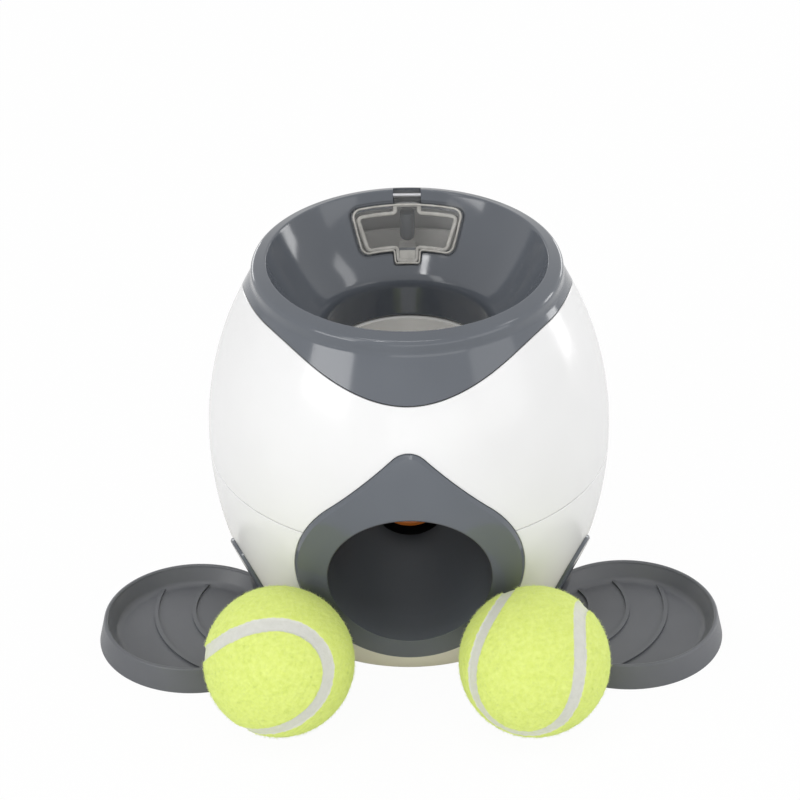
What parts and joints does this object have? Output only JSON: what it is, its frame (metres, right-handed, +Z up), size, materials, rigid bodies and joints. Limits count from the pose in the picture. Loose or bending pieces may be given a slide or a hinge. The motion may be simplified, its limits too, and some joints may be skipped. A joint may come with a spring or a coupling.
{
  "type": "dog ball launcher",
  "caption": "Gravity ball launcher for a dog: funnel, curved chute and orange trigger that turns treat drums above two side trays, with tennis balls.",
  "frame": {"origin": "middle of the underside of the body, on the floor", "axes": "+Z up; the ball's way out faces -Y; +X is to the right of someone who looks at the front"},
  "size_m": [0.2784, 0.2266, 0.1715],
  "materials": {
    "gloss_white": "gloss",
    "gloss_slate": "gloss",
    "satin_dark": "satin",
    "inner_white": "satin",
    "smoky_clear": "smoky clear plastic",
    "orange": "satin",
    "steel": "plain",
    "rubber": "matte",
    "felt": "felt"
  },
  "bodies": {
    "housing": {"lower_shell": "gloss_white", "upper_shell": "gloss_white", "top_collar": "gloss_slate", "front_frame": "gloss_slate", "side_frame_left": "gloss_slate", "side_frame_right": "gloss_slate", "base_plate": "satin_dark", "base_screws": "steel", "base_pads": "rubber", "ball_chute": "inner_white", "hopper_bin": "inner_white", "treat_spout_left": "inner_white", "treat_spout_right": "inner_white", "lid_hinge_pin": "steel", "trigger_pin": "steel"},
    "lid": {"hopper_lid": "smoky_clear"},
    "trigger": {"trigger": "orange"},
    "rotor": {"rotor_shaft": "steel", "rotor_pinion": "inner_white", "treat_drum_left": "orange", "treat_drum_right": "orange"},
    "tray_left": {"tray_left": "satin_dark"},
    "tray_right": {"tray_right": "satin_dark"},
    "ball_left": {"tennis_ball_left": "felt"},
    "ball_right": {"tennis_ball_right": "felt"}
  },
  "joints": [
    {"name": "lid_open", "type": "hinge", "parent": "housing", "child": "lid", "pos_m": [0, 0.0614, 0.1683], "axis": [-1, 0, 0], "range_deg": [0, 110]},
    {"name": "trigger_press", "type": "hinge", "parent": "housing", "child": "trigger", "pos_m": [0, 0.01775, 0.05476], "axis": [1, 0, 0], "range_deg": [0, 14], "stiffness_Nm_per_rad": 0.04, "springref_deg": -5.73},
    {"name": "rotor_turn", "type": "hinge", "parent": "housing", "child": "rotor", "pos_m": [0, 0.06146, 0.078], "axis": [1, 0, 0], "range_deg": [-112, 0]},
    {"name": "tray_left_pull", "type": "slide", "parent": "housing", "child": "tray_left", "axis": [-0.9252, -0.3795, 0], "range_m": [0, 0.03]},
    {"name": "tray_right_pull", "type": "slide", "parent": "housing", "child": "tray_right", "axis": [0.9252, -0.3795, 0], "range_m": [0, 0.03]},
    {"name": "ball_left_lift", "type": "slide", "parent": "housing", "child": "ball_left", "axis": [0, -0.7071, 0.7071], "range_m": [0, 0.1]},
    {"name": "ball_right_lift", "type": "slide", "parent": "housing", "child": "ball_right", "axis": [0, -0.7071, 0.7071], "range_m": [0, 0.1]}
  ],
  "couplings": [
    {"joint": "rotor_turn", "follows": "trigger_press", "ratio": -8}
  ]
}
